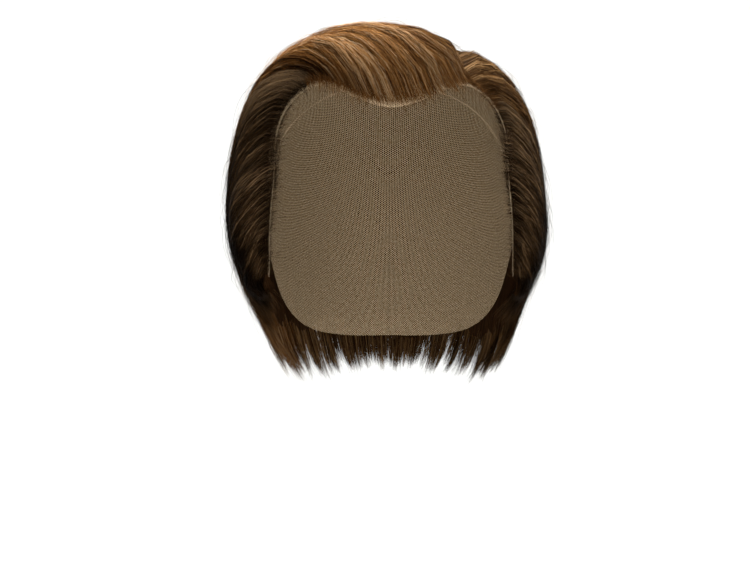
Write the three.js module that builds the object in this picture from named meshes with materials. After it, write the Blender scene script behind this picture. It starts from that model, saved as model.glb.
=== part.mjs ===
// A man's theatrical wig: brown hair, parted on the wearer's left, lifted off the forehead and combed back
// over the ears to a long nape. The hair is knotted into a thin lace cap, open at the face and below.
// Millimetres, +Z up. The face opening looks along -Y, and +X is the wearer's left.
// The origin is the inside of the crown, where the top of the head carries the wig.
import * as THREE from "three";

// Driving dimensions of the head that the wig is made for
const HEAD_HALF_WIDTH = 79;
const HEAD_FRONT = 92; // from the head's centre to the forehead
const HEAD_BACK = 102; // from the head's centre to the back of the head
const CROWN_HEIGHT = 100; // from the head's centre, its widest level, up to the crown
const FACE_TAPER = 300; // depth over which the face draws in below the widest level
const NAPE_TAPER = 180; // the same at the nape, which draws in sooner
const PLAN_SQUARENESS = 2.3; // 2 is an ellipse, and more is squarer
const DOME_SQUARENESS = 2.9;
const TAPER_SQUARENESS = 1.5;
const HEAD_CENTRE = new THREE.Vector3(0, 0, -CROWN_HEIGHT);

// Driving dimensions of the wig
const LACE_WALL = 1;
const LACE_MARGIN = 6; // bare lace beyond the outermost roots
const ROOT_CLEARANCE = 2; // between the lace and the backing of the hair
const LEAST_DEPTH = 0.9; // of the hair, at the hairline
const ROOT_RISE = 30; // distance from the root over which the hair reaches its full depth
const ROOT_LEAD = 10; // the rise is under way by this much at the root
const TIP_DEPTH = 1.6;
const TIP_TAPER = 40; // distance from the tip over which the hair thins
const FREE_RUN = 50; // distance from the tip over which the hair lifts off the head
const LOCK_RELIEF = 2.6; // from the groove between two locks to their crests
const LOCK_NOTCH = 14; // how far a groove between two locks stops short of the ends of the guides
const MOST_CUT = 1 / 3; // share of a short lock that a notch may take
const SECTION_GAP = 0.9; // between two sections of hair

// Finish
const LACE_COLOR = "#c9a981";
const LACE_ROUGHNESS = 0.9;
const HAIR_ROUGHNESS = 0.55;

// Resolution of the solids
const COLUMNS_PER_LOCK = 4;
const ROWS_PER_LOCK = 13;
const LACE_SPOKES = 64;
const LACE_RINGS = 10;
const LENGTH_STEPS = 40;

// Directions from the head's centre, in degrees: azimuth from the face to the wearer's left, and elevation.
// Half of the hairline, from the middle of the forehead round the ear to the middle of the nape.
const HAIRLINE = [
  { place: "forehead peak", azimuth: 0, elevation: 37 },
  { place: "forehead", azimuth: 14, elevation: 40.5 },
  { place: "rise to the recess", azimuth: 26, elevation: 45.2 },
  { place: "temple recess", azimuth: 36, elevation: 47.8 },
  { place: "behind the recess", azimuth: 46, elevation: 45.8 },
  { place: "upper temple", azimuth: 55, elevation: 40.5 },
  { place: "temple", azimuth: 58, elevation: 34 },
  { place: "temple point", azimuth: 54.5, elevation: 18 },
  { place: "sideburn top", azimuth: 58, elevation: 4 },
  { place: "sideburn", azimuth: 63, elevation: -12 },
  { place: "sideburn foot", azimuth: 68, elevation: -22 },
  { place: "sideburn end", azimuth: 75, elevation: -24 },
  { place: "front of the ear", azimuth: 82, elevation: -14 },
  { place: "over the ear", azimuth: 94, elevation: -3 },
  { place: "behind the ear", azimuth: 107, elevation: -12 },
  { place: "below the ear", azimuth: 117, elevation: -29 },
  { place: "nape corner", azimuth: 134, elevation: -38 },
  { place: "nape", azimuth: 157, elevation: -40 },
  { place: "nape middle", azimuth: 180, elevation: -40 },
];
const LACE_POLE = { azimuth: 180, elevation: 55 }; // the lace is laid out in spokes from here

// Full depth of the hair over the lace, in mm, by elevation and by the side of the head:
// F is the face, B the back, L and R the wearer's left and right, and the pairs lie between.
const DEPTH_SIDES = ["F", "FL", "L", "BL", "B", "BR", "R", "FR"];
const HAIR_DEPTH = [
  { elevation: -60, F: 6, FL: 6, L: 5, BL: 6, B: 8, BR: 6, R: 5, FR: 6 },
  { elevation: -45, F: 7, FL: 7, L: 4.5, BL: 6.5, B: 10, BR: 6.5, R: 4.5, FR: 7 },
  { elevation: -30, F: 12, FL: 12, L: 11, BL: 10.5, B: 14, BR: 12, R: 15.5, FR: 14 },
  { elevation: -15, F: 13, FL: 13, L: 15, BL: 17, B: 19, BR: 18, R: 17, FR: 16 },
  { elevation: 0, F: 13, FL: 13, L: 14, BL: 19, B: 21, BR: 20, R: 19, FR: 17 },
  { elevation: 15, F: 14, FL: 11, L: 12.5, BL: 18, B: 21, BR: 20, R: 18, FR: 17 },
  { elevation: 30, F: 16, FL: 10, L: 11.5, BL: 17, B: 20, BR: 19, R: 17, FR: 17 },
  { elevation: 45, F: 17, FL: 9, L: 9.5, BL: 15, B: 19, BR: 18, R: 16.5, FR: 17.5 },
  { elevation: 60, F: 16, FL: 10, L: 9.5, BL: 13, B: 17, BR: 16, R: 14.5, FR: 14.5 },
  { elevation: 75, F: 14, FL: 13, L: 12, BL: 13, B: 15, BR: 15, R: 13.5, FR: 12.5 },
  { elevation: 90, F: 14, FL: 14, L: 14, BL: 14, B: 14, BR: 14, R: 14, FR: 14 },
];

// Guide lines of the comb, a row each.
// start: run from the root line to the first hair, small along the parting and larger at the whorl.
// depth: the hair's depth at the root, thin along the hairline and thicker along the parting.
// lift: how far the tip stands off the head, where the hair hangs free below the lace.
// path: [azimuth, elevation] of the root, of three stops and of the tip.
const RIGHT_COMB = [
  { start: 10, depth: 10, lift: 5, path: [[174, 57], [178, 42], [180, 14], [180, -14], [180, -52]] },
  { start: 2, depth: 8, lift: 5, path: [[169, 66], [-165, 57], [-167, 24], [-168, -9], [-169, -53]] },
  { start: 1, depth: 7, lift: 5, path: [[140, 73], [-145, 70], [-153, 38], [-156, 1], [-158, -54]] },
  { start: 1, depth: 6, lift: 5, path: [[105, 73], [-112, 77], [-135, 49], [-141, 10], [-145, -55]] },
  { start: 1, depth: 5, lift: 6, path: [[75, 68], [-60, 80], [-114, 56], [-126, 16], [-132, -56]] },
  { start: 1, depth: 4, lift: 6, path: [[52, 59], [-8, 74], [-95, 63], [-113.5, 19], [-122, -57]] },
  { start: 1, depth: 2, lift: 6, path: [[36, 48.5], [15, 63.8], [-74.5, 65], [-104, 20], [-115, -57]] },
  { start: 1, depth: 1, lift: 6, path: [[22, 43.5], [5.5, 57.4], [-57, 63], [-96, 21], [-109.5, -57]] },
  { start: 1, depth: 1, lift: 6, path: [[8, 38.5], [-6, 53.5], [-52, 60.5], [-90, 20.5], [-105.5, -55]] },
  { start: 1, depth: 1, lift: 5, path: [[-8, 38.5], [-21, 51], [-53, 56.5], [-85.5, 18.5], [-102, -51.5]] },
  { start: 1, depth: 1, lift: 4, path: [[-24, 44.5], [-37.5, 51.5], [-59, 51.5], [-83, 15], [-99, -47]] },
  { start: 1, depth: 1, lift: 3, path: [[-40, 47.5], [-52, 48.2], [-66, 44], [-81.5, 10], [-96.5, -43]] },
  { start: 1, depth: 1, lift: 2, path: [[-53, 42.5], [-62, 39], [-70.5, 30], [-80.5, 3], [-94, -40]] },
  { start: 1, depth: 1, lift: 2, path: [[-58, 34], [-66, 26.5], [-72.5, 14], [-81, -7.5], [-91, -38]] },
  { start: 1, depth: 1, lift: 1, path: [[-54.5, 18], [-65, 10], [-73, -2], [-80, -18], [-88, -36.5]] },
  { start: 1, depth: 1, lift: 1, path: [[-58, 4], [-67, -5], [-74, -14.5], [-79, -24.5], [-84.5, -35]] },
  { start: 1, depth: 1, lift: 1, path: [[-63, -12], [-69.5, -19], [-74.5, -25], [-77.5, -29], [-81, -34]] },
  { start: 1, depth: 1, lift: 1, path: [[-67, -21], [-70, -25], [-72.5, -28.5], [-74.5, -31], [-77, -33]] },
];
const LEFT_COMB = [
  { start: 10, depth: 10, lift: 5, path: [[174, 57], [178, 42], [180, 14], [180, -14], [180, -52]] },
  { start: 2, depth: 8, lift: 5, path: [[169, 66], [151, 52], [162, 20], [166, -12], [168, -53]] },
  { start: 1, depth: 7, lift: 5, path: [[140, 73], [131, 56], [146, 25], [151, -8], [154, -54]] },
  { start: 1, depth: 6, lift: 6, path: [[105, 73], [111, 57], [130, 28], [137, -4], [141, -55]] },
  { start: 1, depth: 5, lift: 8, path: [[75, 68], [92, 54], [113, 30], [124, -2], [129, -55.5]] },
  { start: 1, depth: 4, lift: 8, path: [[52, 59], [75, 52], [99, 32], [112, 2], [119, -56]] },
  { start: 1.5, depth: 3, lift: 8, path: [[39, 50.5], [62, 49.5], [88, 32.5], [102, 3], [111, -56]] },
  { start: 1, depth: 1.5, lift: 8, path: [[41.5, 47.2], [63, 46], [85, 29], [98, 1], [107, -54]] },
  { start: 1, depth: 1, lift: 6, path: [[48, 45], [65, 41.5], [82.5, 24.5], [94.5, -1.5], [103, -50]] },
  { start: 1, depth: 1, lift: 4, path: [[55, 40.5], [68, 34], [80, 18], [90, -6], [99, -45]] },
  { start: 1, depth: 1, lift: 2, path: [[58, 34], [68, 26], [78, 11], [86, -10], [94, -41]] },
  { start: 1, depth: 1, lift: 2, path: [[54.5, 18], [66, 10], [76, -4], [83, -19], [90, -38]] },
  { start: 1, depth: 1, lift: 1, path: [[58, 4], [68, -5], [76, -15], [81, -25], [86, -35.5]] },
  { start: 1, depth: 1, lift: 1, path: [[63, -12], [70, -19], [75, -25], [78, -30], [82, -34]] },
  { start: 1, depth: 1, lift: 1, path: [[67, -21], [70, -25], [73, -28.5], [75, -31], [78, -33]] },
];

// The locks take these in turn: relative width, and how far short of the guides' ends the tip is cut.
const LOCKS = [
  { width: 1, cut: 0 },
  { width: 0.7, cut: 5 },
  { width: 1.3, cut: 2 },
  { width: 0.85, cut: 7 },
  { width: 1.15, cut: 0 },
];

// The sections of hair, each a run of locks between two guide lines of a comb
const SECTIONS = [
  { name: "right_back_hair", comb: RIGHT_COMB, from: 0, to: 4, locks: 6, color: "#402c1b" },
  { name: "top_hair", comb: RIGHT_COMB, from: 4, to: 11, locks: 10, color: "#6b4a2b" },
  { name: "right_side_hair", comb: RIGHT_COMB, from: 11, to: 17, locks: 7, color: "#3d2a1a" },
  { name: "left_back_hair", comb: LEFT_COMB, from: 0, to: 4, locks: 6, color: "#402c1b" },
  { name: "left_parting_hair", comb: LEFT_COMB, from: 4, to: 9, locks: 5, color: "#54391f" },
  { name: "left_side_hair", comb: LEFT_COMB, from: 9, to: 14, locks: 6, color: "#3d2a1a" },
];

// The unit vector from the head's centre at an azimuth and elevation in degrees.
function direction(azimuth, elevation) {
  const a = THREE.MathUtils.degToRad(azimuth);
  const e = THREE.MathUtils.degToRad(elevation);
  return new THREE.Vector3(Math.sin(a) * Math.cos(e), -Math.cos(a) * Math.cos(e), Math.sin(e));
}

// Distance from the head's centre to the skin: a squared-off dome above the widest level, a taper below it.
function headRadius(d) {
  const level = Math.hypot(d.x, d.y);
  const backward = level > 0 ? (1 + d.y / level) / 2 : 0.5;
  const squareness = d.z > 0 ? DOME_SQUARENESS : TAPER_SQUARENESS;
  const height = d.z > 0 ? CROWN_HEIGHT : THREE.MathUtils.lerp(FACE_TAPER, NAPE_TAPER, backward);
  const length = d.y < 0 ? HEAD_FRONT : HEAD_BACK;
  const plan =
    Math.abs(d.x / HEAD_HALF_WIDTH) ** PLAN_SQUARENESS + Math.abs(d.y / length) ** PLAN_SQUARENESS;
  const rim = plan ** (squareness / PLAN_SQUARENESS) + Math.abs(d.z / height) ** squareness;
  return rim ** (-1 / squareness);
}

// The point that stands a given height off the head in a direction.
function offHead(d, height) {
  return d.clone().multiplyScalar(headRadius(d) + height).add(HEAD_CENTRE);
}

// A smooth value between the entries of a list. A closed list runs on from its end to its start.
function between(list, position, closed) {
  const count = list.length;
  const step = Math.floor(position);
  const wrap = closed ? THREE.MathUtils.euclideanModulo : (i) => THREE.MathUtils.clamp(i, 0, count - 1);
  const [before, a, b, after] = [step - 1, step, step + 1, step + 2].map((i) => list[wrap(i, count)]);
  const t = position - step;
  const slopeA = (b - before) / 2;
  const slopeB = (after - a) / 2;
  const bend = 3 * (b - a) - 2 * slopeA - slopeB;
  return a + t * (slopeA + t * (bend + t * (slopeA + slopeB - 2 * (b - a))));
}

// The hair's full depth in a direction, from the table of depths.
function fullDepth(d) {
  const azimuth = THREE.MathUtils.radToDeg(Math.atan2(d.x, -d.y));
  const elevation = THREE.MathUtils.radToDeg(Math.asin(THREE.MathUtils.clamp(d.z, -1, 1)));
  const side = (THREE.MathUtils.euclideanModulo(azimuth, 360) / 360) * DEPTH_SIDES.length;
  const byElevation = HAIR_DEPTH.map((row) => between(DEPTH_SIDES.map((name) => row[name]), side, true));
  const [lowest, next] = HAIR_DEPTH;
  const level = (elevation - lowest.elevation) / (next.elevation - lowest.elevation);
  return between(byElevation, THREE.MathUtils.clamp(level, 0, HAIR_DEPTH.length - 1), false);
}

// One line of the comb, at a place between two guides, as a function from 0 at the root to 1 at the tip.
function combLine(comb, place) {
  const share = place / (comb.length - 1);
  const guides = comb.map((guide) => guide.path.map((stop) => direction(...stop)));
  const stops = guides[0].map((_, i) =>
    new THREE.CatmullRomCurve3(guides.map((guide) => guide[i])).getPoint(share),
  );
  const curve = new THREE.CatmullRomCurve3(stops);
  return (t) => curve.getPoint(t).normalize();
}

// Arc lengths along a comb line on the head, at evenly spaced values of t.
function lengthsAlong(line) {
  const lengths = [0];
  let last = offHead(line(0), 0);
  for (let i = 1; i <= LENGTH_STEPS; i++) {
    const point = offHead(line(i / LENGTH_STEPS), 0);
    lengths.push(lengths[i - 1] + point.distanceTo(last));
    last = point;
  }
  return lengths;
}

// The t at which a comb line has run a given length.
function placeAt(lengths, length) {
  const after = Math.max(1, lengths.findIndex((run) => run >= length));
  const [a, b] = [lengths[after - 1], lengths[after]];
  return (after - 1 + (length - a) / (b - a)) / LENGTH_STEPS;
}

// One column of a section: the points of its backing and of its outer face, from the root to the tip.
// crest is 0 in the groove between two locks and 1 on a lock's back.
// A column at the edge of its section draws in towards the place of the next column, by half the gap.
function hairColumn(comb, { place, crest, lock }, nextPlace) {
  const line = combLine(comb, place);
  const lengths = lengthsAlong(line);
  const whole = lengths[LENGTH_STEPS];
  const cut = Math.min(THREE.MathUtils.lerp(LOCK_NOTCH, lock.cut, crest), whole * MOST_CUT);
  const start = between(comb.map((guide) => guide.start), place, false);
  const rootDepth = between(comb.map((guide) => guide.depth), place, false);
  const tipLift = between(comb.map((guide) => guide.lift), place, false);
  const nextLine = combLine(comb, nextPlace);
  const backing = [];
  const outer = [];
  for (let row = 0; row < ROWS_PER_LOCK; row++) {
    const run = THREE.MathUtils.lerp(start, whole - cut, row / (ROWS_PER_LOCK - 1));
    const t = placeAt(lengths, run);
    const d = line(t);
    if (nextPlace !== place) {
      const along = line(Math.min(t + 1 / LENGTH_STEPS, 1)).sub(line(Math.max(t - 1 / LENGTH_STEPS, 0)));
      const inward = nextLine(t).sub(d).projectOnPlane(along.normalize()).normalize();
      d.addScaledVector(inward, SECTION_GAP / 2 / headRadius(d)).normalize();
    }
    const rise = THREE.MathUtils.smoothstep(run, -ROOT_LEAD, ROOT_RISE);
    const thin = Math.sqrt(THREE.MathUtils.clamp((whole - cut - run) / TIP_TAPER, 0, 1));
    const full = fullDepth(d) + LOCK_RELIEF * (crest * lock.width - 0.5) * rise;
    const risen = rootDepth + (full - rootDepth) * rise;
    const depth = Math.max(LEAST_DEPTH, TIP_DEPTH + (risen - TIP_DEPTH) * thin);
    const lift = tipLift * THREE.MathUtils.smoothstep(run, whole - FREE_RUN, whole);
    const height = LACE_WALL + ROOT_CLEARANCE + lift;
    backing.push(offHead(d, height));
    outer.push(offHead(d, height + depth));
  }
  return { backing, outer };
}

// A closed wall between two grids of points of the same size. Each grid is a list of columns.
function wallGeometry(inside, outside) {
  const columns = inside.length;
  const rows = inside[0].length;
  const points = [...inside.flat(), ...outside.flat()];
  const at = (layer, column, row) => (layer * columns + column) * rows + row;
  const faces = [];
  const quad = (a, b, c, d) => faces.push(a, b, c, a, c, d);
  for (let c = 0; c < columns - 1; c++) {
    for (let r = 0; r < rows - 1; r++) {
      quad(at(0, c, r), at(0, c, r + 1), at(0, c + 1, r + 1), at(0, c + 1, r));
      quad(at(1, c, r), at(1, c + 1, r), at(1, c + 1, r + 1), at(1, c, r + 1));
    }
    quad(at(0, c, 0), at(0, c + 1, 0), at(1, c + 1, 0), at(1, c, 0));
    quad(at(0, c, rows - 1), at(1, c, rows - 1), at(1, c + 1, rows - 1), at(0, c + 1, rows - 1));
  }
  for (let r = 0; r < rows - 1; r++) {
    quad(at(0, 0, r), at(1, 0, r), at(1, 0, r + 1), at(0, 0, r + 1));
    quad(at(0, columns - 1, r), at(0, columns - 1, r + 1), at(1, columns - 1, r + 1), at(1, columns - 1, r));
  }
  return facingOut(points, faces);
}

// A geometry from points and triangles, turned round if its faces point inwards.
function facingOut(points, faces) {
  let volume = 0;
  for (let i = 0; i < faces.length; i += 3) {
    const [a, b, c] = [points[faces[i]], points[faces[i + 1]], points[faces[i + 2]]];
    volume += a.dot(new THREE.Vector3().crossVectors(b, c));
  }
  const geometry = new THREE.BufferGeometry().setFromPoints(points);
  geometry.setIndex(volume < 0 ? faces.reverse() : faces);
  geometry.computeVertexNormals();
  return geometry;
}

// The columns of a section: their place between the guides, and how high they stand in their lock.
function sectionColumns({ from, to, locks }) {
  const taken = Array.from({ length: locks }, (_, i) => LOCKS[i % LOCKS.length]);
  const total = taken.reduce((sum, lock) => sum + lock.width, 0);
  const columns = [];
  let edge = from;
  for (const lock of taken) {
    const span = ((to - from) * lock.width) / total;
    for (let i = 0; i < COLUMNS_PER_LOCK; i++) {
      const across = i / COLUMNS_PER_LOCK;
      columns.push({ place: edge + span * across, crest: Math.sin(Math.PI * across), lock });
    }
    edge += span;
  }
  columns.push({ place: to, crest: 0, lock: taken[locks - 1] });
  return columns;
}

// A section of hair: its locks side by side on one backing.
function hairSection(section) {
  const columns = sectionColumns(section);
  const made = columns.map((column, i) => {
    const next = columns[THREE.MathUtils.clamp(i, 1, columns.length - 2)];
    return hairColumn(section.comb, column, next.place);
  });
  return wallGeometry(
    made.map((column) => column.backing),
    made.map((column) => column.outer),
  );
}

// The lace foundation: one thin wall, in spokes from a pole at the back of the crown out to its edge.
function laceFoundation() {
  const half = HAIRLINE.map(({ azimuth, elevation }) => direction(azimuth, elevation));
  const mirrored = half.slice(1, -1).reverse().map((d) => new THREE.Vector3(-d.x, d.y, d.z));
  const hairline = new THREE.CatmullRomCurve3([...half, ...mirrored], true);
  const pole = direction(LACE_POLE.azimuth, LACE_POLE.elevation);
  const points = [offHead(pole, 0), offHead(pole, LACE_WALL)];
  for (let spoke = 0; spoke < LACE_SPOKES; spoke++) {
    const root = hairline.getPointAt(spoke / LACE_SPOKES).normalize();
    const axis = new THREE.Vector3().crossVectors(pole, root).normalize();
    const reach = pole.angleTo(root) + LACE_MARGIN / headRadius(root);
    for (let ring = 1; ring <= LACE_RINGS; ring++) {
      const d = pole.clone().applyAxisAngle(axis, (reach * ring) / LACE_RINGS);
      points.push(offHead(d, 0), offHead(d, LACE_WALL));
    }
  }
  const at = (layer, spoke, ring) =>
    ring === 0 ? layer : 2 + ((spoke % LACE_SPOKES) * LACE_RINGS + ring - 1) * 2 + layer;
  const faces = [];
  for (let s = 0; s < LACE_SPOKES; s++) {
    faces.push(at(0, s, 0), at(0, s, 1), at(0, s + 1, 1));
    faces.push(at(1, s, 0), at(1, s + 1, 1), at(1, s, 1));
    for (let r = 1; r < LACE_RINGS; r++) {
      faces.push(at(0, s, r), at(0, s, r + 1), at(0, s + 1, r + 1));
      faces.push(at(0, s, r), at(0, s + 1, r + 1), at(0, s + 1, r));
      faces.push(at(1, s, r), at(1, s + 1, r + 1), at(1, s, r + 1));
      faces.push(at(1, s, r), at(1, s + 1, r), at(1, s + 1, r + 1));
    }
    faces.push(at(0, s, LACE_RINGS), at(1, s, LACE_RINGS), at(1, s + 1, LACE_RINGS));
    faces.push(at(0, s, LACE_RINGS), at(1, s + 1, LACE_RINGS), at(0, s + 1, LACE_RINGS));
  }
  return facingOut(points, faces);
}

// A named piece with its own colour and sheen.
function piece(name, geometry, color, roughness) {
  const material = new THREE.MeshStandardMaterial({ color, roughness, metalness: 0 });
  const mesh = new THREE.Mesh(geometry, material);
  mesh.name = name;
  return mesh;
}

const wig = new THREE.Group();
wig.add(piece("lace_foundation", laceFoundation(), LACE_COLOR, LACE_ROUGHNESS));
for (const section of SECTIONS) {
  wig.add(piece(section.name, hairSection(section), section.color, HAIR_ROUGHNESS));
}

export default wig;
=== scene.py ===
import math

import bmesh
import bpy
import numpy as np
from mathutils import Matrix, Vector
from mathutils.bvhtree import BVHTree


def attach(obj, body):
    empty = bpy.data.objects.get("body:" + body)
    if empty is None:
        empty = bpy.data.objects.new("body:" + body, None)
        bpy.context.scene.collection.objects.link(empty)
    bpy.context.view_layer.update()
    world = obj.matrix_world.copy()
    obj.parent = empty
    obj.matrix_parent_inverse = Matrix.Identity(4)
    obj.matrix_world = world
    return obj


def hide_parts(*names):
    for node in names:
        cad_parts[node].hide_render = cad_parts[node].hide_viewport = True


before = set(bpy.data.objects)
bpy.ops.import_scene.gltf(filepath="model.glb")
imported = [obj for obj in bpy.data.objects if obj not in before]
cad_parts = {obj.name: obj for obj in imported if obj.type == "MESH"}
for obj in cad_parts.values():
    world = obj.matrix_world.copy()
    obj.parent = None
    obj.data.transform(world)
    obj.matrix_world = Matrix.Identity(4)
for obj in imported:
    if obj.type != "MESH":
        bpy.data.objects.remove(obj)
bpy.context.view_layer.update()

# Lace foundation: the wig's thin cap, one piece of fine hexagonal net in tan thread.
# It is drawn to shape and cut to the hairline. Every hair of the wig is knotted into its threads,
# and its sheer bare edge shows before the first hairs.
MM = 0.001
CAP_CENTRE = np.array((0, 0, -100)) * MM
LACE_POLE = (180, 55)  # azimuth and elevation of the middle of the flat pattern
LACE_REACH = math.radians(115)  # from the pole to beyond the furthest edge
LACE_RADIUS = 95 * MM
PATTERN_SIDE = 2 * LACE_REACH * LACE_RADIUS
NET_PITCH = 1.1 * MM  # about twice the real pitch, which is too fine to show
NET_OPENNESS = -0.85  # of a sum of three waves, from -1.5 on a thread to 3 in the middle of a cell
THREAD_MOTTLE = 1.467 * MM
THREAD_TONES = [(0.3, "#b3946c"), (0.7, "#dfc8a4")]
OUTER_FACE = 0.6  # least cosine between an outer face's normal and the line from the cap's centre


def direction(azimuth, elevation):
    """The unit vector from the cap's centre, by degrees from the face to the wearer's left and upwards."""
    a, e = math.radians(azimuth), math.radians(elevation)
    return np.array((math.sin(a) * math.cos(e), -math.cos(a) * math.cos(e), math.sin(e)))


def linear(code):
    """The linear colour of an sRGB hex code, with full alpha."""
    parts = [int(code[i : i + 2], 16) / 255 for i in (1, 3, 5)]
    return [c / 12.92 if c <= 0.04045 else ((c + 0.055) / 1.055) ** 2.4 for c in parts] + [1]


def add(material, kind, inputs=None, stops=(), **settings):
    """A shader node with its settings and ramp stops. Inputs are values or the sockets that feed them."""
    node = material.node_tree.nodes.new(kind)
    for name, value in settings.items():
        setattr(node, name, value)
    for place, (position, color) in enumerate(stops):
        ramp = node.color_ramp.elements
        stop = ramp[place] if place < 2 else ramp.new(position)
        stop.position, stop.color = position, linear(color)
    for name, value in (inputs or {}).items():
        if isinstance(value, bpy.types.NodeSocket):
            material.node_tree.links.new(value, node.inputs[name])
        else:
            node.inputs[name].default_value = value
    return node


def new_material(name):
    """An empty node material."""
    material = bpy.data.materials.new(name)
    material.use_nodes = True
    material.node_tree.nodes.clear()
    return material


# Wig lace gives the eye a tan honeycomb of thread, with open cells that let the hair behind show through.
wig_lace = new_material("wig_lace")
flat_place = add(wig_lace, "ShaderNodeUVMap", uv_map="OFBake").outputs[0]
waves = None
for turn in (0, 60, 120):
    a = math.radians(turn)
    turns = PATTERN_SIDE / NET_PITCH * 2 * math.pi
    across = (turns * math.cos(a), turns * math.sin(a), 0)
    dot = add(wig_lace, "ShaderNodeVectorMath", {0: flat_place, 1: across}, operation="DOT_PRODUCT")
    wave = add(wig_lace, "ShaderNodeMath", {0: dot.outputs["Value"]}, operation="COSINE").outputs[0]
    waves = add(wig_lace, "ShaderNodeMath", {0: waves, 1: wave}).outputs[0] if waves else wave
thread = add(wig_lace, "ShaderNodeMath", {0: waves, 1: NET_OPENNESS}, operation="LESS_THAN")
uneven = add(
    wig_lace,
    "ShaderNodeTexNoise",
    {"Vector": flat_place, "Scale": PATTERN_SIDE / THREAD_MOTTLE, "Detail": 2.0},
)
thread_tone = add(wig_lace, "ShaderNodeValToRGB", {0: uneven.outputs["Fac"]}, THREAD_TONES)
net = add(
    wig_lace,
    "ShaderNodeBsdfPrincipled",
    {"Base Color": thread_tone.outputs[0], "Alpha": thread.outputs[0], "Roughness": 0.8},
)
add(wig_lace, "ShaderNodeOutputMaterial", {0: net.outputs[0]})

pole = direction(*LACE_POLE)
pole_side = direction(LACE_POLE[0] + 90, 0)
pole_up = np.cross(pole, pole_side)
sheet = bmesh.new()
sheet.from_mesh(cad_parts["lace_foundation"].data)
bmesh.ops.remove_doubles(sheet, verts=sheet.verts, dist=0.01 * MM)
sheet.normal_update()
inside = []
for face in sheet.faces:
    outward = (face.calc_center_median() - Vector(CAP_CENTRE)).normalized()
    if face.normal.dot(outward) < OUTER_FACE:
        inside.append(face)
bmesh.ops.delete(sheet, geom=inside, context="FACES")
flat = sheet.loops.layers.uv.new("OFBake")
for face in sheet.faces:
    face.smooth = True
    for loop in face.loops:
        d = np.array(loop.vert.co) - CAP_CENTRE
        x, y, z = d @ pole_side, d @ pole_up, d @ pole
        level = math.hypot(x, y) + 1e-9
        spread = math.atan2(level, z) / LACE_REACH / 2
        loop[flat].uv = (0.5 + spread * x / level, 0.5 + spread * y / level)
mesh = bpy.data.meshes.new("lace_net")
sheet.to_mesh(mesh)
sheet.free()
mesh.materials.append(wig_lace)
lace_net = bpy.data.objects.new("lace_net", mesh)
bpy.context.collection.objects.link(lace_net)
rounding = lace_net.modifiers.new("rounding", "SUBSURF")
rounding.levels = rounding.render_levels = 2
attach(lace_net, "root")
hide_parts("lace_foundation")

# Right back hair: the hair from the whorl and the back of the parting, combed down to the nape.
# It is brown human hair, knotted into the lace a few hairs at a time, and it lies in locks.
GRID_ACROSS = 12  # columns of the comb's grid in each space between two guide lines
GRID_ALONG = 49
BEND_ROUNDING = 12  # passes that round the comb's bends
RAY_START = 250 * MM  # from the cap's centre to well outside the wig
ROOT_DEPTH = 2 * MM  # from the backing of the hair solids in to the lace
LEAST_DEPTH = 0.6 * MM
FINE_LOCK = 2.6 * MM
BROAD_LOCK = 11 * MM
HAIR_POINTS = 14
# Half widths in mm. Hairs are up to three times as wide as real ones, which are too fine to show.
LONG_HALF_WIDTH = (0.07, 0.13)
LOOSE_HALF_WIDTH = (0.06, 0.12)
SHORT_HALF_WIDTH = (0.05, 0.09)
BURIED_SHARE = 0.12  # of the long hairs, which start and lie within the depth of the hair
LOOSE_RISE = 1.3  # mean rise of a loose hair in mm
LOOSE_LIMIT = 6
HAIRLINE_REACH = 2.6  # mean reach of the short hairs before the hairline in mm
SHELL_START = 6 * MM  # from the roots to the shell of inner hair
SHELL_COVER = 2.4 * MM  # of strands over it

# Guide lines of the comb: [azimuth, elevation] of the root, of three stops and of the tip.
RIGHT_COMB = [
    [[174, 57], [178, 42], [180, 14], [180, -14], [180, -52]],
    [[169, 66], [-165, 57], [-167, 24], [-168, -9], [-169, -53]],
    [[140, 73], [-145, 70], [-153, 38], [-156, 1], [-158, -54]],
    [[105, 73], [-112, 77], [-135, 49], [-141, 10], [-145, -55]],
    [[75, 68], [-60, 80], [-114, 56], [-126, 16], [-132, -56]],
    [[52, 59], [-8, 74], [-95, 63], [-113.5, 19], [-122, -57]],
    [[36, 48.5], [15, 63.8], [-74.5, 65], [-104, 20], [-115, -57]],
    [[22, 43.5], [5.5, 57.4], [-57, 63], [-96, 21], [-109.5, -57]],
    [[8, 38.5], [-6, 53.5], [-52, 60.5], [-90, 20.5], [-105.5, -55]],
    [[-8, 38.5], [-21, 51], [-53, 56.5], [-85.5, 18.5], [-102, -51.5]],
    [[-24, 44.5], [-37.5, 51.5], [-59, 51.5], [-83, 15], [-99, -47]],
    [[-40, 47.5], [-52, 48.2], [-66, 44], [-81.5, 10], [-96.5, -43]],
    [[-53, 42.5], [-62, 39], [-70.5, 30], [-80.5, 3], [-94, -40]],
    [[-58, 34], [-66, 26.5], [-72.5, 14], [-81, -7.5], [-91, -38]],
    [[-54.5, 18], [-65, 10], [-73, -2], [-80, -18], [-88, -36.5]],
    [[-58, 4], [-67, -5], [-74, -14.5], [-79, -24.5], [-84.5, -35]],
    [[-63, -12], [-69.5, -19], [-74.5, -25], [-77.5, -29], [-81, -34]],
    [[-67, -21], [-70, -25], [-72.5, -28.5], [-74.5, -31], [-77, -33]],
]


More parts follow.
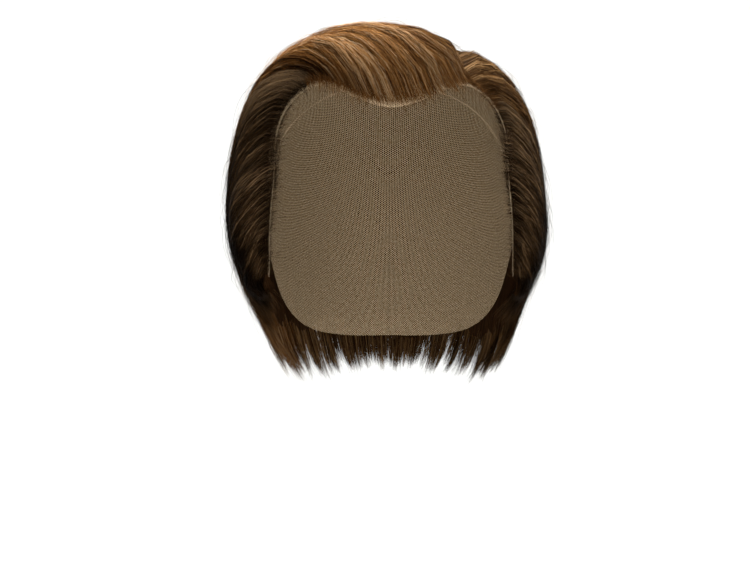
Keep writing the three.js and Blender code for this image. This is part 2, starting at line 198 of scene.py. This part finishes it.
def through(points, places):
    """Points on the smooth curve through a list of points, at places from 0 to 1."""
    p = np.asarray(points, float)
    p = np.vstack((2 * p[0] - p[1], p, 2 * p[-1] - p[-2]))
    x = np.clip(places, 0, 1) * (len(p) - 3)
    i = np.minimum(x.astype(int), len(p) - 4)
    w = (x - i)[:, None]
    a, b, c, d = (p[i + k] for k in range(4))
    steps = (b - a, c - b, d - c)
    ab, bc, cd = (np.maximum(np.linalg.norm(v, axis=1, keepdims=True) ** 0.5, 1e-4) for v in steps)
    slope_b = ((b - a) / ab - (c - a) / (ab + bc) + (c - b) / bc) * bc
    slope_c = ((c - b) / bc - (d - b) / (bc + cd) + (d - c) / cd) * bc
    bend = 3 * (c - b) - 2 * slope_b - slope_c
    return b + w * (slope_b + w * (bend + w * (2 * (b - c) + slope_b + slope_c)))


def unit(vectors):
    """Vectors scaled to length 1."""
    return vectors / (np.linalg.norm(vectors, axis=-1, keepdims=True) + 1e-12)


def smooth(x, low, high):
    """0 below low and 1 above high, with an even rise between."""
    x = np.clip((x - low) / (high - low), 0, 1)
    return x * x * (3 - 2 * x)


def comb_grid(comb, first, last, node):
    """The comb between two guides: directions, and radii of the solid's backing and its outer face."""
    columns = GRID_ACROSS * (last - first) + 1
    places = np.linspace(first, last, columns) / (len(comb) - 1)
    stops = np.stack([through([direction(*guide[k]) for guide in comb], places) for k in range(5)], 1)
    fine = np.linspace(0, 1, 4 * GRID_ALONG)
    way = np.empty((columns, GRID_ALONG, 3))
    for i in range(columns):
        steps = np.linalg.norm(np.diff(through(stops[i], fine), axis=0), axis=1)
        run = np.concatenate(([0], np.cumsum(steps)))
        way[i] = through(stops[i], np.interp(np.linspace(0, run[-1], GRID_ALONG), run, fine))
    for _ in range(BEND_ROUNDING):
        way[:, 1:-1] = (way[:, :-2] + 2 * way[:, 1:-1] + way[:, 2:]) / 4
    way = unit(way)
    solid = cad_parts[node].data
    tree = BVHTree.FromPolygons([v.co for v in solid.vertices], [p.vertices for p in solid.polygons])
    centre = Vector(CAP_CENTRE)
    radii = np.full((2, columns, GRID_ALONG), np.nan)
    for i, j in np.ndindex(columns, GRID_ALONG):
        ray = Vector(way[i, j])
        hits = tree.ray_cast(centre, ray)[0], tree.ray_cast(centre + ray * RAY_START, -ray)[0]
        if all(hits):
            radii[:, i, j] = [(hit - centre).length for hit in hits]
    # rays through the gaps beside the solid and past its tips take the nearest radius
    rows = np.arange(GRID_ALONG)
    found = np.flatnonzero(np.isnan(radii[0]).mean(1) < 0.4)
    for face in radii:
        for i in found:
            met = np.flatnonzero(~np.isnan(face[i]))
            face[i] = np.interp(rows, met, face[i, met])
            for _ in range(BEND_ROUNDING // 2):
                face[i, 1:-1] = (face[i, :-2] + 2 * face[i, 1:-1] + face[i, 2:]) / 4
        for j in rows:
            face[:, j] = np.interp(np.arange(columns), found, face[found, j])
    outer = CAP_CENTRE + way * radii[1][..., None]
    gaps = np.linalg.norm(np.diff(outer, axis=0), axis=2)
    evenly = np.concatenate(([0], np.cumsum(gaps.mean(1)))) / gaps.mean(1).sum()
    return {
        "way": way,
        "inner": radii[0],
        "outer": radii[1],
        "length": np.linalg.norm(np.diff(outer, axis=1), axis=2).sum(1),
        "width": gaps.sum(0),
        "evenly": evenly,  # share of the width that lies before each column
    }


def sample(field, s, t):
    """A grid's value at places across and along it, carried on in a straight line beyond its edges."""
    x, y = s * (field.shape[0] - 1), t * (field.shape[1] - 1)
    i = np.clip(np.floor(x).astype(int), 0, field.shape[0] - 2)
    j = np.clip(np.floor(y).astype(int), 0, field.shape[1] - 2)
    u, v = x - i, y - j
    if field.ndim == 3:
        u, v = u[..., None], v[..., None]
    near = field[i, j] * (1 - u) + field[i + 1, j] * u
    far = field[i, j + 1] * (1 - u) + field[i + 1, j + 1] * u
    return near * (1 - v) + far * v


def column(grid, x):
    """Where a share x of the width lies among the grid's columns, from 0 to 1."""
    inside = np.interp(x, grid["evenly"], np.linspace(0, 1, len(grid["evenly"])))
    return inside + np.minimum(x, 0) + np.maximum(x - 1, 0)


def strands(grid, x, t, level, rise, lift, half, tone, aside=0):
    """Hairs as thin ribbons, a row each. x and t are places across and along the comb, level is the
    share of the hair's depth at which they lie, rise is added to it, lift is 0 on the lace, half is
    half the width, and aside is a shift."""
    s, inside = column(grid, x), np.clip(t, 0, 1)
    way = unit(sample(grid["way"], s, t))
    low, high = sample(grid["inner"], s, inside), sample(grid["outer"], s, inside)
    depth = np.maximum(high - low, LEAST_DEPTH)
    foot = low - ROOT_DEPTH * (1 - lift)
    radius = np.maximum(foot + lift * (depth * level + rise), foot)
    path = CAP_CENTRE + unit(way + aside) * radius[..., None]
    along = unit(np.gradient(path, axis=1))
    side = unit(np.cross(along, way))
    up = np.cross(side, along)
    n, k = x.shape
    roll = np.random.default_rng(n).normal(0, 0.5, (n, 1, 1))
    edge = (side * np.cos(roll) + up * np.sin(roll)) * half[..., None]
    points = np.stack((path - edge, path + edge), 2)
    index = np.arange(n * k * 2).reshape(n, k, 2)
    faces = np.stack((index[:, :-1, 0], index[:, :-1, 1], index[:, 1:, 1], index[:, 1:, 0]), -1)
    tones = 0.5 + 0.5 * np.clip(tone, 0.02, 0.98)[:, None, None] + np.array((-0.003, 0.003))
    uv = np.stack(np.broadcast_arrays(tones, np.clip(t, 0.002, 0.998)[..., None]), -1)
    return points.reshape(-1, 3), faces.reshape(-1, 4), uv.reshape(-1, 2)


def long_hair(grid, count, parting, loft, painted_light_at_borders, rng):
    """The combed hair: each hair keeps to a fine lock, which sways within a broad one.
    The arguments are those of hair_piece."""
    mean_width = grid["width"].mean()
    x = rng.permutation((np.arange(count) + rng.random(count)) / count)
    own = np.arange(count)
    fine = (x * round(mean_width / FINE_LOCK)).astype(int)
    strayed = np.clip(x + rng.normal(0, 0.006, count), 0, 0.999)
    broad = (strayed * round(mean_width / BROAD_LOCK)).astype(int)

    def by_lock(lock, draw, *limits):
        return draw(*limits, lock.max() + 1)[lock][:, None]

    length = np.interp(column(grid, x), np.linspace(0, 1, len(grid["length"])), grid["length"])[:, None]
    at_parting = column(grid, x)[:, None] < parting
    # roots lie on both sides of the hairline, and close to the line of the parting
    is_before = rng.random((count, 1)) < 0.4
    before, behind = rng.uniform(-7, 0, (count, 1)), rng.uniform(0, 12, (count, 1))
    root = np.where(is_before, before, behind)
    root = np.where(at_parting, rng.uniform(-2.5, 1, (count, 1)), root) * MM
    root = np.clip(root, -0.15 * length, 0.2 * length) / length
    buried = rng.random((count, 1)) < BURIED_SHARE
    root = np.where(buried, rng.uniform(0.05, 0.45, (count, 1)), root)
    tip = 1.02 - np.abs(by_lock(own, rng.normal, 0, 0.05)) - by_lock(fine, rng.uniform, 0, 0.03)
    tip = tip - by_lock(broad, rng.uniform, 0, 0.02)
    u = np.linspace(0, 1, HAIR_POINTS)[None, :]
    u = 0.4 * u + 0.6 * smooth(u, 0, 1)  # points closest at the bend over the root and at the tip
    t = root + (tip - root) * u
    run, left = u * (tip - root) * length, (1 - u) * (tip - root) * length

    def wave(lock, least, most):
        turns, start = by_lock(lock, rng.uniform, least, most), by_lock(lock, rng.uniform, 0, 1)
        return np.sin(2 * math.pi * (turns * t + start))

    width = np.interp(t, np.linspace(0, 1, GRID_ALONG), grid["width"])
    sway = 1.2 * wave(broad, 0.8, 2.2) + 0.7 * wave(fine, 1.5, 4) + 0.4 * wave(own, 1, 5)
    sway = sway * smooth(t, 0, 0.3) + rng.normal(0, 1.5, (count, 1)) * (t - root)
    sway = np.clip(sway * MM / width, -0.1, 0.1)
    # each fine lock draws in towards its middle, and is lower at its sides
    locks = fine.max() + 1
    middle = (fine + 0.5)[:, None] / locks + by_lock(fine, rng.uniform, -0.3, 0.3) / locks
    across = (x[:, None] - middle) * locks * 2
    drawn_in = by_lock(fine, rng.uniform, 0.1, 0.6) * smooth(t, -0.2, 0.7)
    places = x[:, None] + (middle - x[:, None]) * drawn_in + sway
    places = np.clip(places, -1.2 * MM / width, 1 + 1.2 * MM / width)
    level = np.where(buried, rng.uniform(0.2, 0.8, (count, 1)), 1 - 0.45 * rng.random((count, 1)) ** 1.5)
    level = level + (rng.random((count, 1)) - level) * smooth(t, 0.72, 0.95)
    rise = by_lock(fine, rng.normal, 0, 0.6) + by_lock(broad, rng.normal, 0, 0.35) - 0.6 * across**2
    rise = (rise + 0.3 * wave(own, 1, 4)) * MM * smooth(run, 2 * MM, 30 * MM)
    lofted = loft * rng.random((count, 1)) ** 3 * np.where(buried, 0, at_parting)
    rise = rise + lofted * smooth(run, 0, 7 * MM) * (1 - smooth(run, 9 * MM, 50 * MM))
    half = by_lock(own, rng.uniform, *LONG_HALF_WIDTH) * MM
    half = half * (0.5 + 0.5 * smooth(run, 0, 15 * MM)) * (0.12 + 0.88 * smooth(left, 0, 16 * MM))
    tone = 0.5 + 0.06 * by_lock(broad, rng.normal, 0, 1) + 0.12 * by_lock(fine, rng.normal, 0, 1)
    tone = tone + 0.33 * by_lock(own, rng.normal, 0, 1)
    # painted light and shade near the first and last guides, blending into the painted light of the next
    # sections
    tone[:, 0] += painted_light_at_borders[0] * (1 - smooth(x, 0, 0.35)) + painted_light_at_borders[1] * smooth(x, 0.65, 1)
    return strands(grid, places, t, level, rise, smooth(run, 0, 6 * MM), half, tone[:, 0])


def flyaways(grid, count, rng):
    """Loose hairs that cross the locks, or leave them by a few millimetres in an arch or at a free tip."""
    x, start = rng.random((2, count, 1))
    length = np.interp(column(grid, x), np.linspace(0, 1, len(grid["length"])), grid["length"])
    u = np.linspace(0, 1, 9)[None, :]
    span = np.minimum(rng.uniform(15, 65, (count, 1)) * MM, 0.7 * length)
    t = (start * (length - span) + span * u) / length
    width = np.interp(t, np.linspace(0, 1, GRID_ALONG), grid["width"])
    places = np.clip(x + rng.normal(0, 0.22, (count, 1)) * span * u / width, 0, 1)
    arch, free = np.minimum(rng.exponential(LOOSE_RISE, (2, count, 1)), LOOSE_LIMIT) * MM
    rise = arch * np.sin(math.pi * u) + np.where(rng.random((count, 1)) < 0.4, free, 0) * u**2
    half = rng.uniform(*LOOSE_HALF_WIDTH, (count, 1)) * MM * (1 - 0.6 * u)
    return strands(grid, places, t, 0.95 + 0 * t, rise, 1 + 0 * t, half, rng.uniform(0.15, 0.9, count))


def hairline_hair(grid, count, parting, rng):
    """Short fine hairs, knotted singly along the hairline and on the bare lace before it."""
    x = rng.random((count, 1))
    x = x[column(grid, x)[:, 0] > parting]
    count = len(x)
    length = np.interp(column(grid, x), np.linspace(0, 1, len(grid["length"])), grid["length"])
    u = np.linspace(0, 1, 5)[None, :]
    t = (rng.uniform(-5, 4, (count, 1)) + rng.uniform(5, 16, (count, 1)) * u) * MM / length
    width = np.interp(t, np.linspace(0, 1, GRID_ALONG), grid["width"])
    places = np.clip(x + rng.normal(0, 2, (count, 1)) * MM * u / width, 0, 1)
    rise = rng.uniform(0.3, 2.5, (count, 1)) * MM * np.sin(math.pi * 0.6 * u)
    half = rng.uniform(*SHORT_HALF_WIDTH, (count, 1)) * MM * (1 - 0.7 * u)
    roots, second = grid["way"][:, 0], grid["way"][:, 1]
    before = unit(np.cross(np.gradient(roots, axis=0), roots))
    before = before * np.sign((before * (roots - second)).sum())
    place = np.rint(column(grid, x[:, 0]) * (len(roots) - 1)).astype(int)
    reach = rng.exponential(HAIRLINE_REACH, (count, 1)) * MM / LACE_RADIUS * (1 - u) ** 1.5
    aside = before[place][:, None] * reach[..., None]
    return strands(grid, places, t, 0.3 + 0 * t, rise, u + 0 * t, half, rng.uniform(0.1, 0.7, count), aside)


def depth_shell(grid):
    """The depth of the hair: a closed shell that keeps well inside the outer strands."""
    columns = (len(grid["way"]) + 1) // 2
    s, u = np.meshgrid(np.linspace(0, 1, columns), np.linspace(0, 1, 25), indexing="ij")
    length = np.interp(s, np.linspace(0, 1, len(grid["length"])), grid["length"])
    start = SHELL_START / length
    t = start + (0.89 + 0.02 * np.sin(9 * s) - start) * u
    way = unit(sample(grid["way"], s, t))
    low, high = sample(grid["inner"], s, t), sample(grid["outer"], s, t)
    height = np.maximum(high - low - SHELL_COVER, 0) * smooth(t * length, 10 * MM, 45 * MM)
    top = low + 0.2 * MM + height
    points = np.concatenate([CAP_CENTRE + way * r[..., None] for r in (low, top)]).reshape(-1, 3)
    index = np.arange(s.size).reshape(s.shape)
    over = s.size
    a, b, c, d = index[:-1, :-1], index[1:, :-1], index[1:, 1:], index[:-1, 1:]
    faces = [np.stack((a, b, c, d), -1).reshape(-1, 4) + over, np.stack((a, d, c, b), -1).reshape(-1, 4)]
    for edge in (index[0, ::-1], index[-1], index[:, 0], index[::-1, -1]):
        faces.append(np.stack((edge[:-1], edge[1:], edge[1:] + over, edge[:-1] + over), -1))
    uv = np.stack((s * 0.48, t), -1).reshape(-1, 2)
    return points, np.concatenate(faces), np.tile(uv, (2, 1))


# Brown human hair in its own shade gives the eye near black, with faint streaks along the comb.
SHADE_STREAKS = (300, 5, 1)  # about one for each millimetre across, and a few along a hair
SHADE_TONES = [(0.3, "#0c0603"), (0.7, "#2a1a0d")]
STREAK_HEIGHT = 0.4 * MM
shaded_hair = new_material("brown_human_hair_in_shade")
comb_place = add(shaded_hair, "ShaderNodeUVMap", uv_map="OFBake").outputs[0]
drawn_out = add(
    shaded_hair,
    "ShaderNodeVectorMath",
    {0: comb_place, 1: SHADE_STREAKS},
    operation="MULTIPLY",
)
streak = add(
    shaded_hair,
    "ShaderNodeTexNoise",
    {"Vector": drawn_out.outputs[0], "Scale": 1.0, "Detail": 3.0},
)
streak_tone = add(shaded_hair, "ShaderNodeValToRGB", {0: streak.outputs["Fac"]}, SHADE_TONES)
ridges = add(
    shaded_hair,
    "ShaderNodeBump",
    {"Height": streak.outputs["Fac"], "Strength": 0.6, "Distance": STREAK_HEIGHT},
)
depth_surface = add(
    shaded_hair,
    "ShaderNodeBsdfPrincipled",
    {
        "Base Color": streak_tone.outputs[0],
        "Normal": ridges.outputs[0],
        "Roughness": 0.9,
        "Specular IOR Level": 0.0,
    },
)
add(shaded_hair, "ShaderNodeOutputMaterial", {0: depth_surface.outputs[0]})


def brown_hair(name, tones, painted_light_along):
    """Brown human hair gives the eye single hairs from near black to gold, with a faint brown gloss; the
    top's gold is partly painted highlight.
    tones runs from the darkest hair to the lightest, and fade is painted light and shade along each hair,
    from the roots to the tips."""
    material = new_material(name)
    hair_place = add(material, "ShaderNodeUVMap", uv_map="OFBake")
    place = add(material, "ShaderNodeSeparateXYZ", {0: hair_place.outputs[0]})
    tone = add(material, "ShaderNodeMath", {0: place.outputs[0], 1: 2.0, 2: -1.0}, operation="MULTIPLY_ADD")
    color = add(material, "ShaderNodeValToRGB", {0: tone.outputs[0]}, tones)
    # painted light and shade along each hair, from the roots to the tips, which multiplies its tone
    along = add(material, "ShaderNodeValToRGB", {0: place.outputs[1]}, painted_light_along)
    both = add(
        material, "ShaderNodeVectorMath", {0: color.outputs[0], 1: along.outputs[0]}, operation="MULTIPLY"
    )
    surface = add(
        material,
        "ShaderNodeBsdfPrincipled",
        {
            "Base Color": both.outputs[0],
            "Roughness": 0.42,
            "Specular IOR Level": 0.02,
            "Specular Tint": linear("#b98a5c"),
        },
    )
    add(material, "ShaderNodeOutputMaterial", {0: surface.outputs[0]})
    return material


def hair_piece(name, node, comb, first, last, count, tones, painted_light_along, parting=0, loft=0, painted_light_at_borders=(0, 0)):
    """A section of hair between two guides, in one mesh. parting is the share of its guides along the
    parting, loft is how far the loosest hair rises there, and borders is how much lighter the hair is
    painted beside its first and its last guide: painted light and shade that blends into that of the
    next sections."""
    rng = np.random.default_rng(count)
    grid = comb_grid(comb, first, last, node)
    parts = [
        depth_shell(grid),
        long_hair(grid, count, parting, loft, painted_light_at_borders, rng),
        flyaways(grid, count // 4, rng),
        hairline_hair(grid, count * 2 // 3, parting, rng),
    ]
    starts = np.cumsum([0] + [len(points) for points, _, _ in parts])
    points = np.concatenate([points for points, _, _ in parts])
    faces = np.concatenate([faces + start for (_, faces, _), start in zip(parts, starts)])
    uv = np.concatenate([uv for _, _, uv in parts])
    mesh = bpy.data.meshes.new(name)
    mesh.vertices.add(len(points))
    mesh.vertices.foreach_set("co", points.astype(np.float32).ravel())
    mesh.loops.add(faces.size)
    mesh.loops.foreach_set("vertex_index", faces.astype(np.int32).ravel())
    mesh.polygons.add(len(faces))
    mesh.polygons.foreach_set("loop_start", np.arange(0, faces.size, 4, dtype=np.int32))
    is_strand = np.arange(len(faces)) >= len(parts[0][1])
    mesh.polygons.foreach_set("material_index", is_strand.astype(np.int32))
    mesh.update(calc_edges=True)
    mesh.shade_smooth()
    bake_map = mesh.uv_layers.new(name="OFBake")
    bake_map.data.foreach_set("uv", uv[faces.ravel()].astype(np.float32).ravel())
    mesh.materials.append(shaded_hair)
    mesh.materials.append(brown_hair("brown_human_hair_" + name, tones, painted_light_along))
    piece = bpy.data.objects.new(name, mesh)
    bpy.context.collection.objects.link(piece)
    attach(piece, "root")
    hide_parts(node)


MID_TONES = [(0.0, "#0c0502"), (0.45, "#402913"), (0.8, "#705030"), (1.0, "#b48d60")]
# Painted light and shade along a hair that falls to the nape: a little darker at the roots, lightest just
# beyond them under the light from above, painted shade lower down, and a little lighter at the tips.
FALL_PAINTED_LIGHT = [
    (0.0, "#d8d8d8"),
    (0.06, "#ffffff"),
    (0.16, "#ffffff"),
    (0.4, "#787068"),
    (0.8, "#888480"),
    (1.0, "#a8a7a5"),
]
hair_piece(
    "right_back_strands",
    "right_back_hair",
    RIGHT_COMB,
    0,
    4,
    4600,
    MID_TONES,
    FALL_PAINTED_LIGHT,
    parting=1,
    painted_light_at_borders=(0, 0.25),
)

# Top hair: the long front, of brown hair knotted into the lace along the forehead and the parting; it is
# painted lighter and golden where the light from above falls, a painted highlight.
# It is lifted off the forehead in a wave and swept over the crown to the wearer's right.
# Tones of the top's hair: the same brown hair painted lighter and golden, a painted highlight from the
# light above.
TOP_TONES_PAINTED_LIT = [(0.0, "#120803"), (0.4, "#865a2e"), (0.8, "#dca566"), (1.0, "#ffdfb4")]
# Painted light and shade along a top hair: painted shade at the roots under the wave, a painted highlight
# on the crest, painted shade where the hair turns down the side, and a little lighter at the tips.
SWEEP_PAINTED_LIGHT = [
    (0.0, "#76706a"),
    (0.04, "#807972"),
    (0.1, "#aca39a"),
    (0.2, "#f4ece4"),
    (0.34, "#ccc4bc"),
    (0.48, "#78716a"),
    (0.62, "#46423d"),
    (1.0, "#857d75"),
]
hair_piece(
    "top_strands",
    "top_hair",
    RIGHT_COMB,
    4,
    11,
    5500,
    TOP_TONES_PAINTED_LIT,
    SWEEP_PAINTED_LIGHT,
    parting=0.27,
    loft=0.4 * MM,
    painted_light_at_borders=(-0.25, -0.25),
)

# Right side hair: brown hair shorter than the top, painted the darkest of the wig: painted shade on the
# side, under the top and away from the light above.
# It is knotted into the lace from the temple to the sideburn, and combed back and down over the ear.
# Tones of the side hair: the same brown hair painted dark, a painted shade on the sides that face away from
# the light above.
SIDE_TONES_PAINTED_SHADE = [(0.0, "#040200"), (0.45, "#1b1006"), (0.8, "#3a2a19"), (1.0, "#7a6146")]
# Painted light and shade along a side hair: a little darker at the roots, lightest just beyond them,
# painted shade lower down under the top's overhang, and a little lighter at the tips.
SIDE_PAINTED_LIGHT = [(0.0, "#c0c0c0"), (0.08, "#ffffff"), (0.2, "#ffffff"), (0.42, "#605a54"), (1.0, "#a49c94")]
hair_piece(
    "right_side_strands",
    "right_side_hair",
    RIGHT_COMB,
    11,
    17,
    4200,
    SIDE_TONES_PAINTED_SHADE,
    SIDE_PAINTED_LIGHT,
    painted_light_at_borders=(0.7, 0),
)

# Left back hair: brown hair like that of the right back, on the other side of the whorl.
# It is knotted into the lace behind the parting and combed down to the nape.
LEFT_COMB = [
    [[174, 57], [178, 42], [180, 14], [180, -14], [180, -52]],
    [[169, 66], [151, 52], [162, 20], [166, -12], [168, -53]],
    [[140, 73], [131, 56], [146, 25], [151, -8], [154, -54]],
    [[105, 73], [111, 57], [130, 28], [137, -4], [141, -55]],
    [[75, 68], [92, 54], [113, 30], [124, -2], [129, -55.5]],
    [[52, 59], [75, 52], [99, 32], [112, 2], [119, -56]],
    [[39, 50.5], [62, 49.5], [88, 32.5], [102, 3], [111, -56]],
    [[41.5, 47.2], [63, 46], [85, 29], [98, 1], [107, -54]],
    [[48, 45], [65, 41.5], [82.5, 24.5], [94.5, -1.5], [103, -50]],
    [[55, 40.5], [68, 34], [80, 18], [90, -6], [99, -45]],
    [[58, 34], [68, 26], [78, 11], [86, -10], [94, -41]],
    [[54.5, 18], [66, 10], [76, -4], [83, -19], [90, -38]],
    [[58, 4], [68, -5], [76, -15], [81, -25], [86, -35.5]],
    [[63, -12], [70, -19], [75, -25], [78, -30], [82, -34]],
    [[67, -21], [70, -25], [73, -28.5], [75, -31], [78, -33]],
]
hair_piece("left_back_strands", "left_back_hair", LEFT_COMB, 0, 4, 4601, MID_TONES, FALL_PAINTED_LIGHT, parting=1)

# Left parting hair: brown hair knotted into the lace along the other side of the parting.
# It rises loosely at the roots, then falls to the wearer's left and back.
hair_piece(
    "left_parting_strands",
    "left_parting_hair",
    LEFT_COMB,
    4,
    9,
    4800,
    MID_TONES,
    FALL_PAINTED_LIGHT,
    parting=0.4,
    loft=2.2 * MM,
    painted_light_at_borders=(0, -0.2),
)

# Left side hair: the same shorter hair as on the right, with the same painted shade.
# It is knotted into the lace from the temple to the sideburn, and combed back and down over the ear.
hair_piece(
    "left_side_strands",
    "left_side_hair",
    LEFT_COMB,
    9,
    14,
    4000,
    SIDE_TONES_PAINTED_SHADE,
    SIDE_PAINTED_LIGHT,
    painted_light_at_borders=(0.45, 0),
)

# Studio: a sheet of white paper that runs from the floor up into a wall all round.
# Soft light falls mostly from above and before the wig.
FLOOR_LEVEL = -0.45
WALL_AWAY = 2.2
WALL_TOP = 4.0
BEND = 0.9
BEND_STEPS = 16
SIDES = 96
PAPER_MOTTLE = 25 * MM
PAPER_TONES = [(0.2, "#f3f3f2"), (0.8, "#f8f8f7")]
profile = [(0.0, FLOOR_LEVEL)]
for step in range(BEND_STEPS + 1):
    a = math.pi / 2 * step / BEND_STEPS
    profile.append((WALL_AWAY - BEND * (1 - math.sin(a)), FLOOR_LEVEL + BEND * (1 - math.cos(a))))
profile.append((WALL_AWAY, WALL_TOP))
points, faces = [], []
for side in range(SIDES):
    a = 2 * math.pi * side / SIDES
    points += [(r * math.sin(a), r * math.cos(a), z) for r, z in profile]
    here, after = side * len(profile), (side + 1) % SIDES * len(profile)
    faces += [(here + i, after + i, after + i + 1, here + i + 1) for i in range(len(profile) - 1)]
mesh = bpy.data.meshes.new("studio_floor")
mesh.from_pydata(points, [], faces)
mesh.shade_smooth()
# White paper gives the eye an even, matt, faintly mottled white.
white_paper = new_material("white_paper")
paper_place = add(white_paper, "ShaderNodeTexCoord").outputs["Object"]
fibre = add(
    white_paper,
    "ShaderNodeTexNoise",
    {"Vector": paper_place, "Scale": 1 / PAPER_MOTTLE, "Detail": 3.0},
)
white = add(white_paper, "ShaderNodeValToRGB", {0: fibre.outputs["Fac"]}, PAPER_TONES)
matt = add(white_paper, "ShaderNodeBsdfPrincipled", {"Base Color": white.outputs[0], "Roughness": 0.9})
add(white_paper, "ShaderNodeOutputMaterial", {0: matt.outputs[0]})
mesh.materials.append(white_paper)
studio_floor = bpy.data.objects.new("studio_floor", mesh)
bpy.context.collection.objects.link(studio_floor)

world = bpy.data.worlds.new("studio")
world.use_nodes = True
surround = world.node_tree.nodes["Background"]
surround.inputs[0].default_value = (1, 1, 1, 1)
surround.inputs[1].default_value = 0.05
bpy.context.scene.world = world

# Lights: name, place, what it points at, width, height, watts.
LIGHTS = [
    ("key", (0.5, -1.0, 1.15), (0, 0, -0.08), 0.5, 0.4, 38),
    ("top", (0.05, 0.15, 1.2), (0, 0, 0), 0.5, 0.4, 17),
    ("front", (-0.3, -1.9, 0.3), (0, 0, -0.1), 0.8, 0.8, 7),
]
for name, place, target, width, height, watts in LIGHTS:
    lamp = bpy.data.lights.new(name, "AREA")
    lamp.shape, lamp.size, lamp.size_y, lamp.energy = "RECTANGLE", width, height, watts
    light = bpy.data.objects.new(name, lamp)
    light.location = place
    light.rotation_euler = (Vector(target) - Vector(place)).to_track_quat("-Z", "Y").to_euler()
    bpy.context.collection.objects.link(light)

# Camera: level, before the face opening, at the distance that gives the photo's frame.
camera = bpy.data.objects.new("camera", bpy.data.cameras.new("camera"))
camera.location = (-0.0097, -0.956, -0.1407)
camera.rotation_euler = (math.pi / 2, 0, 0)
camera.data.sensor_width = 36
camera.data.lens = 73.06
bpy.context.collection.objects.link(camera)
bpy.context.scene.camera = camera
bpy.context.scene.view_settings.view_transform = "Standard"
